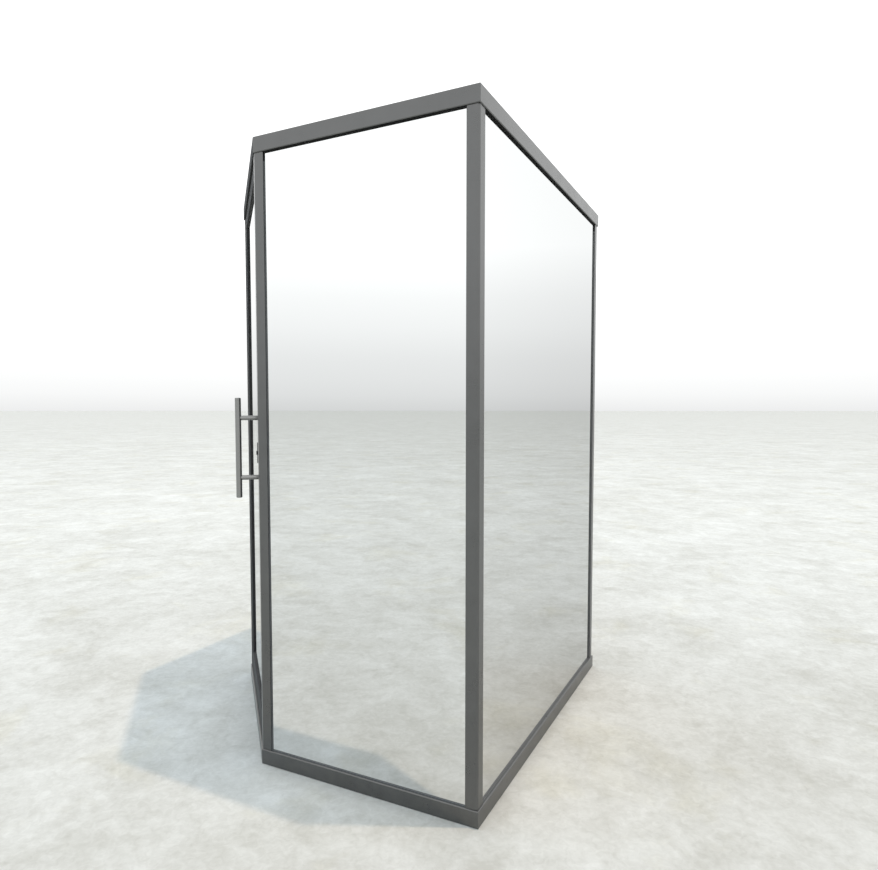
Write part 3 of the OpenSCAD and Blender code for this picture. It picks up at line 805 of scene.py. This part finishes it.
@dataclass(frozen=True)
class PaleGround(Finish):
    """Plain pale ground: soft clouds of tone under a painted pool of light, with painted shade near the
    booth and far away.

    Attributes:
        cloud: how far the clouds go below and above the middle tone.
        sizes: scale and share of each size of cloud.
        cloud_span: noise values of the darkest and the brightest cloud.
        dark_tint: tint of the dark clouds.
        bounce: share of the ground's colour that other surfaces are lit with.
        stain: tint of the few warm stains.
        stain_scale: scale of the stains.
        stain_span: noise values where a stain begins and is full.
        shift: where in the endless pattern the booth stands.
        decades: powers of ten from 1 m to the distance where the painted light pool's scale ends.
        far_tones: part of that scale, and the painted light's tone there.
        gloss: specular level of the ground.
    """

    cloud: Pair = (0.2, 0.12)
    sizes: Steps = ((0.4, 0.11), (1.3, 0.25), (3.6, 0.21), (11.0, 0.23), (45.0, 0.2))
    cloud_span: Pair = (0.4, 0.6)
    dark_tint: Color = (1.008, 0.992, 0.95)
    bounce: float = 0.6
    stain: Color = (0.965, 0.955, 0.915)
    stain_scale: float = 1.7
    stain_span: Pair = (0.55, 0.66)
    shift: tuple[float, float, float] = (9.8, 19.3, 3.0)
    decades: float = 3.0
    far_tones: Steps = ((0.06, 0.90), (0.17, 0.955), (0.25, 0.985), (0.32, 0.968), (0.40, 0.925),
                        (0.54, 0.875), (0.85, 0.84))
    gloss: float = 0.1

    def dress(self, s: Sheet, bsdf: Node) -> None:
        """Clouds of all sizes with stains, times a painted pool of light that depends on the distance."""
        place = s.place()
        pattern = s.add("VectorMath", {0: place, 1: self.shift}).outputs[0]
        total = None
        for scale, share in self.sizes:
            noise = s.noise(pattern, scale, 7.0, Roughness=0.58, Distortion=0.9)
            part = s.math("MULTIPLY", noise, share)
            total = s.math("ADD", total, part) if total else part
        below, above = self.cloud
        dark = tuple(c * t for c, t in zip(self.shade(1 - below), self.dark_tint))
        tone = s.mix(s.spread(total, *self.cloud_span), dark, self.shade(1 + above))
        blots = s.noise(pattern, self.stain_scale, 5.0, Roughness=0.65, Distortion=0.4)
        stained = s.mix(s.spread(blots, *self.stain_span), tone, self.stain, "MULTIPLY")
        # painted pool of light: painted shade near the booth and far away
        with_light_pool = s.mix(1.0, stained, self.distance_tone(s, place), "MULTIPLY")
        path = s.add("LightPath").outputs["Is Diffuse Ray"]
        lit = s.scaled(with_light_pool, s.spread(path, 0.0, 1.0, 1.0, self.bounce))
        s.fill(bsdf, {"Base Color": lit, "Specular IOR Level": self.gloss})

    def distance_tone(self, s: Sheet, place: Socket) -> Socket:
        """A painted pool of light: a grey that depends on the logarithm of the distance from the middle
        of the booth.
        """
        away = s.add("VectorMath", {0: place}, operation="LENGTH").outputs["Value"]
        part = s.spread(s.math("LOGARITHM", away, 10.0), 0.0, self.decades)
        return s.ramp(part, self.far_tones)


class Coat(Enum):
    """Every finish of the booth: the record's material slots, the door's own with the painted shade over
    it, and two for pieces.
    """

    frame_metal = PowderCoat("frame_powder_coat", (0.136, 0.137, 0.136), 0.30)
    # the door's stiles and bottom rail: a dark, dull copy of the frame coat, partly their own finish and
    # partly painted shade of the door side that faces away from the light
    door_metal = PowderCoat("door_matt_coat_and_painted_shade", (0.062, 0.063, 0.064), 0.55, flake=0.1, gloss=0.08,
                            rim=0.25)
    # painted shade: a very dark, dull coat for the door's top rail and the cap rail over the door, where
    # shade falls under the cap
    header_metal = PowderCoat("header_painted_shade_coat", (0.05, 0.051, 0.052), 0.6, flake=0.05, gloss=0.04,
                              rim=0.08)
    mirror_glass = MirrorGlass("mirror_glass", (0.775, 0.785, 0.785), 0.01)
    rubber = GasketWithPaintedShade("glazing_rubber_and_painted_shade", (0.007, 0.007, 0.007), 0.75)
    door_rubber = Moulded("door_rubber", (0.012, 0.012, 0.012), 0.72)
    stainless = BrushedSteel("brushed_stainless", (0.27, 0.272, 0.268), 0.30)
    galvanised = Galvanised("galvanised_steel", (0.52, 0.53, 0.54), 0.42)
    roof_metal = PowderCoat("roof_sheet", (0.30, 0.305, 0.31), 0.45, dust=0.55, flake=0.45)
    floor_covering = Moulded("studded_rubber", (0.045, 0.046, 0.048), 0.6, 420.0, dust=0.35)
    light_white = PowderCoat("white_enamel", (0.78, 0.78, 0.76), 0.35, dust=0.0, flake=0.0)
    light_diffuser = Opal("opal_diffuser", (0.86, 0.86, 0.83), 0.45)
    corner_laminate = Moulded("corner_laminate", (0.50, 0.50, 0.48), 0.42, 520.0,
                              relief=(0.3, 0.0001))
    phone_black = Moulded("phone_plastic", (0.025, 0.025, 0.027), 0.5, 1300.0, dust=0.1)
    lock_dark = PowderCoat("lock_anodised", (0.018, 0.018, 0.019), 0.36, dust=0.1, flake=0.4)
    key_metal = BrushedSteel("key_steel", (0.66, 0.66, 0.65), 0.32)
    key_green = Moulded("key_green", (0.02, 0.26, 0.06), 0.35, 1500.0, dust=0.0)
    key_red = Moulded("key_red", (0.42, 0.02, 0.012), 0.35, 1500.0, dust=0.0)
    legend_ink = Moulded("legend_ink", (0.012, 0.012, 0.012), 0.5, 1800.0, dust=0.0)
    sealant = Moulded("roof_sealant", (0.06, 0.062, 0.065), 0.55, 260.0, dust=0.4)


class Painter:
    """Builds each finish once, paints the CAD nodes and makes the small pieces.

    The door's profiles and rubber, and the cap rail over the door, have dark finishes of their own; on
    the door's stiles and bottom rail that coat is partly painted shade, and on its top rail and the cap
    rail over it painted shade.

    Attributes:
        darker: the CAD nodes with those finishes, the painted shade among them.
        borrowed: which slot's name a finish would take that isn't in the record itself; nothing reads it.
        smooth_degrees: edges flatter than this are shaded smooth.
    """

    # the coat of the door's stiles and bottom rail is partly painted shade; that of its top rail and the
    # cap rail over it is painted shade
    darker = {"hinge_stile": Coat.door_metal, "lock_stile": Coat.door_metal,
              "door_bottom_rail": Coat.door_metal, "door_top_rail": Coat.header_metal,
              "cap_rail_door": Coat.header_metal, "door_gasket": Coat.door_rubber,
              "door_seal": Coat.door_rubber}
    borrowed = {Coat.legend_ink: Coat.rubber, Coat.sealant: Coat.rubber}
    smooth_degrees = 35.0

    def __init__(self) -> None:
        """Builds the finishes."""
        self.materials = {coat: coat.value.build() for coat in Coat}

    def paint_nodes(self) -> None:
        """Gives every CAD node the finish of its slot in the record, or the dark coat listed for it,
        which is partly painted shade.
        """
        for entry in frame["record"]["subparts"]:
            node = frame["nodes"][entry["node"]]
            node.data.materials.clear()
            coat = self.darker.get(entry["node"], Coat[entry["material_slot"]])
            node.data.materials.append(self.materials[coat])
            LOG.info("node %s: %s", entry["node"], coat.name)

    def piece(self, name: str, mesh: Mesh, body: str, coat: Coat) -> None:
        """Makes a shown piece that rides on a CAD body.

        Args:
            name: the piece's name.
            mesh: its vertices and faces, in the row frame.
            body: the CAD body that carries it.
            coat: its finish.
        """
        points, faces = mesh
        data = bpy.data.meshes.new(name)
        data.from_pydata(points.tolist(), [], faces)
        data.shade_smooth()
        data.set_sharp_from_angle(angle=math.radians(self.smooth_degrees))
        data.materials.append(self.materials[coat])
        data.update()
        made = add_object(name, data)
        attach(made, body)
        LOG.info("piece %s: %d vertices, rides on %s", name, len(points), body)


# ---------------- sub-assemblies


@dataclass
class Cabin:
    """Floor studs, roof sealant and bracket screws.

    Attributes:
        stud: shape of the floor studs.
        stud_pitch: distance between neighbouring studs.
        stud_margin: how far the studs keep from the rails and the corner panel.
        bracket_room: how far the studs keep from the rails that carry the floor brackets.
        bead: half the width of the roof's sealant bead.
        bead_rise: heights of the bead's crown and of its point on the rail, over the joint's depth.
        bead_points: number of points along the bead's half round.
        leg: thickness of a bracket's upright leg.
        screw_reach: distance of a bracket's screws from its middle.
        screw_drop: depth of those screws below the leg's top.
        screw: shape of those screws.
    """

    stud: Stud = Stud(0.012, 0.0015)
    stud_pitch: float = 0.045
    stud_margin: float = 0.025
    bracket_room: float = 0.075
    bead: float = 0.004
    bead_rise: Pair = (0.9, 0.45)
    bead_points: int = 7
    leg: float = 0.005
    screw_reach: float = 0.018
    screw_drop: float = 0.011
    screw: Screw = Screw(0.005, 0.0032, 0.0017)

    def build(self, plan: Plan, painter: Painter) -> None:
        """Builds all of it."""
        self.floor_studs(plan, painter)
        self.roof_bead(plan, painter)
        self.bracket_screws(painter)

    def floor_studs(self, plan: Plan, painter: Painter) -> None:
        """Round studs on a square grid, kept inside the plan and clear of brackets and panel."""
        reach = np.arange(-plan.half, plan.half, self.stud_pitch) + self.stud_pitch / 2
        x, y = (a.ravel() for a in np.meshgrid(reach, reach))
        margin = plan.rail_depth + self.stud_margin
        inside = (np.abs(x) < plan.half - margin) & (np.abs(y) < plan.half - margin)
        slant = (2 * plan.half - plan.cut) * math.sqrt(0.5)
        inside &= -(x + y) * math.sqrt(0.5) < slant - margin
        phone = plan.telephone_side()
        panel = phone.box("corner_panel")[1][0]
        flat = np.column_stack([x, y, np.zeros(len(x))])
        inside &= (flat - phone.origin) @ phone.axes[0] > panel + self.stud_margin
        low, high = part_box("anchor_brackets")
        beside = np.abs(x) > plan.half - plan.rail_depth - self.bracket_room
        inside &= ~(beside & (y > low.y - self.stud_margin) & (y < high.y + self.stud_margin))
        centres = flat[inside] + [0, 0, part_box("floor_panel")[1].z]
        studs = repeated(self.stud.mesh(), [Place(centre, np.eye(3)) for centre in centres])
        painter.piece("floor_studs", studs, "booth", Coat.floor_covering)

    def roof_bead(self, plan: Plan, painter: Painter) -> None:
        """A half-round bead of sealant in the joint between roof panel and cap rails.

        Its profile is closed on itself: row i is the plan's outline moved inwards by insets[i], at
        heights[i], from the last point to the first, which turns the faces outwards.
        """
        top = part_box("roof_panel")[1].z
        angles = np.linspace(0, math.pi, self.bead_points)
        insets = np.append(plan.rail_depth + self.bead * (1 + np.cos(angles)), plan.rail_depth)
        crown, foot = np.array(self.bead_rise) * (plan.height - top)
        heights = top + np.append(crown * np.sin(angles), foot)
        rows = [np.insert(plan.outline(inset), 2, height, axis=1)
                for inset, height in zip(insets[::-1], heights[::-1])]
        points = np.vstack(rows)
        faces = ring_faces(len(rows) + 1, len(rows[0])) % len(points)
        painter.piece("roof_sealant", (points, faces.tolist()), "booth", Coat.sealant)

    def bracket_screws(self, painter: Painter) -> None:
        """Two screws through each bracket's upright leg into the base rail."""
        low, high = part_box("anchor_brackets")
        spread = frame["record"]["mounts"][0]["dims"]["spacing_y_mm"] * MM / 2
        middle = (low.y + high.y) / 2
        places = []
        for side, row, end in itertools.product((-1, 1), repeat=3):
            y = middle + row * spread + end * self.screw_reach
            at = np.array([side * (high.x - self.leg), y, high.z - self.screw_drop])
            places.append(Place.facing(at, np.array([-side, 0.0, 0.0]), np.array([0.0, 0.0, 1.0])))
        painter.piece("bracket_screws", repeated(self.screw.mesh(), places), "booth", Coat.stainless)


@dataclass
class Door:
    """Screws of the strike plate.

    Attributes:
        screw: shape of a screw.
        inset: distance of a screw from the strike plate's end.
    """

    screw: Screw = Screw(0.0035, 0.0012, 0.0014)
    inset: float = 0.009

    def build(self, plan: Plan, painter: Painter) -> None:
        """Builds the screws of the strike plate, which face the door leaf."""
        side = plan.door_side()
        low, high = side.box("strike_plate")
        places = []
        for z in (low[2] + self.inset, high[2] - self.inset):
            at = side.put(np.array([low[0], (low[1] + high[1]) / 2, z]))
            places.append(Place.facing(at, -side.axes[0], side.axes[1]))
        painter.piece("strike_screws", repeated(self.screw.mesh(), places), "booth", Coat.stainless)


@dataclass
class Telephone:
    """Legends on the keys, screws of the face plate and the cloth behind the grille.

    Attributes:
        legend_size: height of a digit's body.
        legend_steps: number of straight pieces along each of a digit's curves.
        ink: how far a legend stands proud of its key.
        ring_radii: inner and outer radius of the ring on the call key.
        bar_half: half the straight length and half the height of the bar on the end key.
        bar_sides: number of points round the bar.
        screw: shape of a face plate screw.
        screw_inset: its distance from the plate's edges.
        cloth_radius: radius of the cloth behind the grille.
        cloth_dome: how far its middle stands out.
        cloth_rim: how far its rim reaches back, as a part of the dome.
        cloth_hole: radius of its innermost ring, as a part of its own.
        cloth_rings: number of its rings.
        cloth_gap: distance of its edge behind the plate.
        speaker_rise: height of the grille's middle above the plate's middle.
        round_sides: number of points round the ring and the cloth.
    """

    legend_size: float = 0.0105
    legend_steps: int = 4
    ink: float = 0.00012
    ring_radii: Pair = (0.0032, 0.0046)
    bar_half: Pair = (0.003, 0.0013)
    bar_sides: int = 24
    screw: Screw = Screw(0.0048, 0.0026, 0.0016)
    screw_inset: float = 0.012
    cloth_radius: float = 0.0275
    cloth_dome: float = 0.003
    cloth_rim: float = 1 / 3
    cloth_hole: float = 1 / 30
    cloth_rings: int = 8
    cloth_gap: float = 0.0045
    speaker_rise: float = 0.08
    round_sides: int = 32

    def build(self, plan: Plan, painter: Painter) -> None:
        """Builds the legends, the screws and the cloth."""
        side = plan.telephone_side()
        for digit in "0123456789":
            self.legend(side, digit, self.digit(digit), painter, Coat.legend_ink)
        self.legend(side, "call", self.ring(), painter, Coat.light_white)
        self.legend(side, "end", self.bar(), painter, Coat.light_white)
        self.plate_screws(side, painter)
        self.grille_cloth(side, painter)

    def legend(self, side: Place, key: str, drawn: Mesh, painter: Painter, ink: Coat) -> None:
        """Puts a thin raised print on the middle of a key's top."""
        painter.piece("legend_" + key, side.top("key_" + key).carry(drawn), "key_" + key, ink)

    def digit(self, name: str) -> Mesh:
        """A digit as an extruded text, moved so that its middle is at zero."""
        curve = bpy.data.curves.new("digit", "FONT")
        curve.body = name
        curve.size = self.legend_size
        curve.extrude = self.ink
        curve.align_x = "CENTER"
        curve.align_y = "CENTER"
        curve.resolution_u = self.legend_steps
        text = add_object("digit", curve)
        seen = text.evaluated_get(bpy.context.evaluated_depsgraph_get())
        mesh = bpy.data.meshes.new_from_object(seen)
        points = vertices(mesh)
        points[:, :2] -= (points[:, :2].max(0) + points[:, :2].min(0)) / 2
        faces = [list(p.vertices) for p in mesh.polygons]
        bpy.data.objects.remove(text)
        bpy.data.curves.remove(curve)
        bpy.data.meshes.remove(mesh)
        return points, faces

    def ring(self) -> Mesh:
        """An open ring: a revolve of a flat band, without the fans at its ends."""
        inner, outer = self.ring_radii
        radii = np.array([inner, outer, outer, inner])
        points = revolve(radii, np.array([-1, -1, 1, 1]) * self.ink, self.round_sides)[0][:-2]
        faces = ring_faces(len(radii) + 1, self.round_sides) % len(points)
        return points, faces.tolist()

    def bar(self) -> Mesh:
        """A short bar with round ends: radius times (cos t, sin t), moved by the reach to its side."""
        t = turn(self.bar_sides) - math.pi / 2
        reach, radius = self.bar_half
        shift = np.where(np.cos(t) >= -1e-9, reach, -reach)
        n = self.bar_sides
        layers = [np.column_stack([radius * np.cos(t) + shift, radius * np.sin(t), np.full(n, z)])
                  for z in (-self.ink, self.ink)]
        ends = [list(range(n))[::-1], list(range(n, 2 * n))]
        return np.vstack(layers), ring_faces(2, n).tolist() + ends

    def plate_screws(self, side: Place, painter: Painter) -> None:
        """Four socket screws in the corners of the face plate."""
        low, high = side.box("phone_plate")
        rows = [(low[k] + self.screw_inset, high[k] - self.screw_inset) for k in (1, 2)]
        places = [side.front([high[0], y, z]) for y, z in itertools.product(*rows)]
        painter.piece("plate_screws", repeated(self.screw.mesh(), places), "booth", Coat.stainless)

    def grille_cloth(self, side: Place, painter: Painter) -> None:
        """A dark domed disc behind the grille: z = dome times one minus the square of the radius."""
        low, high = side.box("phone_plate")
        part = np.linspace(1, self.cloth_hole, self.cloth_rings)
        radii = self.cloth_radius * np.append(1, part)
        heights = self.cloth_dome * np.append(-self.cloth_rim, 1 - part ** 2)
        disc = revolve(radii, heights, self.round_sides)
        middle = [low[0] - self.cloth_gap, 0, (low[2] + high[2]) / 2 + self.speaker_rise]
        painter.piece("grille_cloth", side.front(middle).carry(disc), "booth", Coat.phone_black)


# ---------------- stage


@dataclass
class Stage:
    """Floor, world, sun and camera.

    Attributes:
        ground: finish of the floor.
        floor_reach: half the size of the floor.
        sun_shift: how far a roof corner's shadow moves along x and y on the floor.
        sun_power: strength of the sun lamp.
        sun_width: the sun's width, in degrees.
        sun_tint: colour of the sun.
        sky_top: height of the ray where the backdrop's steps end.
        sky_steps: part of the way up to there, from the horizon, and the backdrop's brightness.
        sky_tint: colour of the backdrop.
        soft_tint: colour of the soft light.
        sky_side: extra soft light from the left.
        sky_level: soft light from everywhere.
        azimuth: the camera's heading, in degrees round z, 0 looking along +Y.
        pitch: how far the camera looks down, in degrees.
        forward: distance from the camera to the front right corner, along its heading.
        right: how far that corner lies to the right of the heading.
        eye: height of the camera.
        focal: focal length over the sensor's width.
        rise: vertical shift of the lens, as a part of the sensor's width.
        clip: nearest and farthest distance that the camera shows.
    """

    ground: PaleGround = PaleGround("pale_ground", (0.762, 0.748, 0.698), 0.8)
    floor_reach: float = 1500.0
    sun_shift: Pair = (-0.46, -0.21)
    sun_power: float = 0.83
    sun_width: float = 1.0
    sun_tint: Color = (1.08, 0.87, 0.67)
    sky_top: float = 0.25
    sky_steps: Steps = ((0.0, 0.86), (0.09, 0.95), (0.18, 1.0), (0.31, 1.05), (0.49, 1.16),
                        (0.66, 1.235), (0.94, 1.42))
    sky_tint: Color = (0.992, 1.0, 0.998)
    soft_tint: Color = (0.888, 1.0, 1.112)
    sky_side: float = 0.9
    sky_level: float = 0.935
    azimuth: float = 26.58
    pitch: float = 3.228
    forward: float = 1.8474
    right: float = 0.1131
    eye: float = 1.2104
    focal: float = 0.75387
    rise: float = 0.0145
    clip: Pair = (0.05, 4500.0)

    def build(self, plan: Plan) -> None:
        """Builds the floor, the world, the sun and the camera."""
        self.floor()
        self.world()
        self.sun(plan)
        self.camera(plan)
        bpy.context.scene.view_settings.view_transform = "Standard"

    def floor(self) -> None:
        """One large quad at the ground's height."""
        r = self.floor_reach
        data = bpy.data.meshes.new("floor")
        data.from_pydata([(-r, -r, 0), (r, -r, 0), (r, r, 0), (-r, r, 0)], [], [(0, 1, 2, 3)])
        data.materials.append(self.ground.build())
        made = add_object("floor", data)

    def world(self) -> None:
        """A pale sky for the camera and for reflections, and a plain soft light for everything else.

        The sky's brightness rises from the horizon, as a function of the ray's height. The soft
        light is even, plus a share that grows with the square of how far the ray points left.
        """
        world = bpy.data.worlds.new("studio")
        bpy.context.scene.world = world
        world.use_nodes = True
        world.node_tree.nodes.clear()
        s = Sheet(world.node_tree)
        ray = s.add("SeparateXYZ", {0: s.add("TexCoord").outputs["Generated"]}).outputs
        brightest = self.sky_steps[-1][1]
        greys = tuple((at, level / brightest) for at, level in self.sky_steps)
        sky = s.ramp(s.spread(ray["Z"], 0.0, self.sky_top), greys, self.sky_tint)
        backdrop = s.add("Background", {0: sky, 1: brightest})
        leftward = s.math("MAXIMUM", s.math("MULTIPLY", ray["X"], -1.0), 0.0)
        side = s.math("MULTIPLY", s.math("POWER", leftward, 2.0), self.sky_side)
        soft = s.add("Background", {0: self.soft_tint, 1: s.math("ADD", side, self.sky_level)})
        path = s.add("LightPath").outputs
        seen = s.math("MAXIMUM", path["Is Camera Ray"], path["Is Glossy Ray"])
        seen = s.math("MAXIMUM", seen, path["Is Transmission Ray"])
        mixed = s.add("MixShader", {0: seen, 1: soft.outputs[0], 2: backdrop.outputs[0]})
        s.add("OutputWorld", {0: mixed.outputs[0]})

    def sun(self, plan: Plan) -> None:
        """A soft-edged sun whose shadow falls to the front left."""
        lamp = bpy.data.lights.new("sun", "SUN")
        lamp.energy = self.sun_power
        lamp.angle = math.radians(self.sun_width)
        lamp.color = self.sun_tint
        self.aim(add_object("sun", lamp), Vector((*self.sun_shift, -plan.height)))

    def camera(self, plan: Plan) -> None:
        """The camera, placed from the front right corner of the plan."""
        a, p = math.radians(self.azimuth), math.radians(self.pitch)
        right = Vector((math.cos(a), math.sin(a), 0))
        ahead = Vector((-math.sin(a), math.cos(a), 0))
        corner = Vector((plan.half, -plan.half, 0))
        data = bpy.data.cameras.new("camera")
        data.lens = data.sensor_width * self.focal
        data.shift_y = self.rise
        data.clip_start, data.clip_end = self.clip
        made = add_object("camera", data)
        made.location = corner - right * self.right - ahead * self.forward + Vector((0, 0, self.eye))
        self.aim(made, ahead * math.cos(p) - Vector((0, 0, math.sin(p))))
        bpy.context.scene.camera = made

    @staticmethod
    def aim(made: bpy.types.Object, look: Vector) -> None:
        """Turns a lamp or a camera to look along a direction."""
        made.rotation_mode = "QUATERNION"
        made.rotation_quaternion = look.to_track_quat("-Z", "Y")


def main() -> None:
    """Builds the stage and the sub-assemblies in order."""
    logging.basicConfig(level=logging.INFO, format="%(name)s: %(message)s")
    plan = Plan.from_frame()
    Stage().build(plan)
    painter = Painter()
    painter.paint_nodes()
    Cabin().build(plan, painter)
    Door().build(plan, painter)
    Telephone().build(plan, painter)


if __name__ == "__main__":
    main()
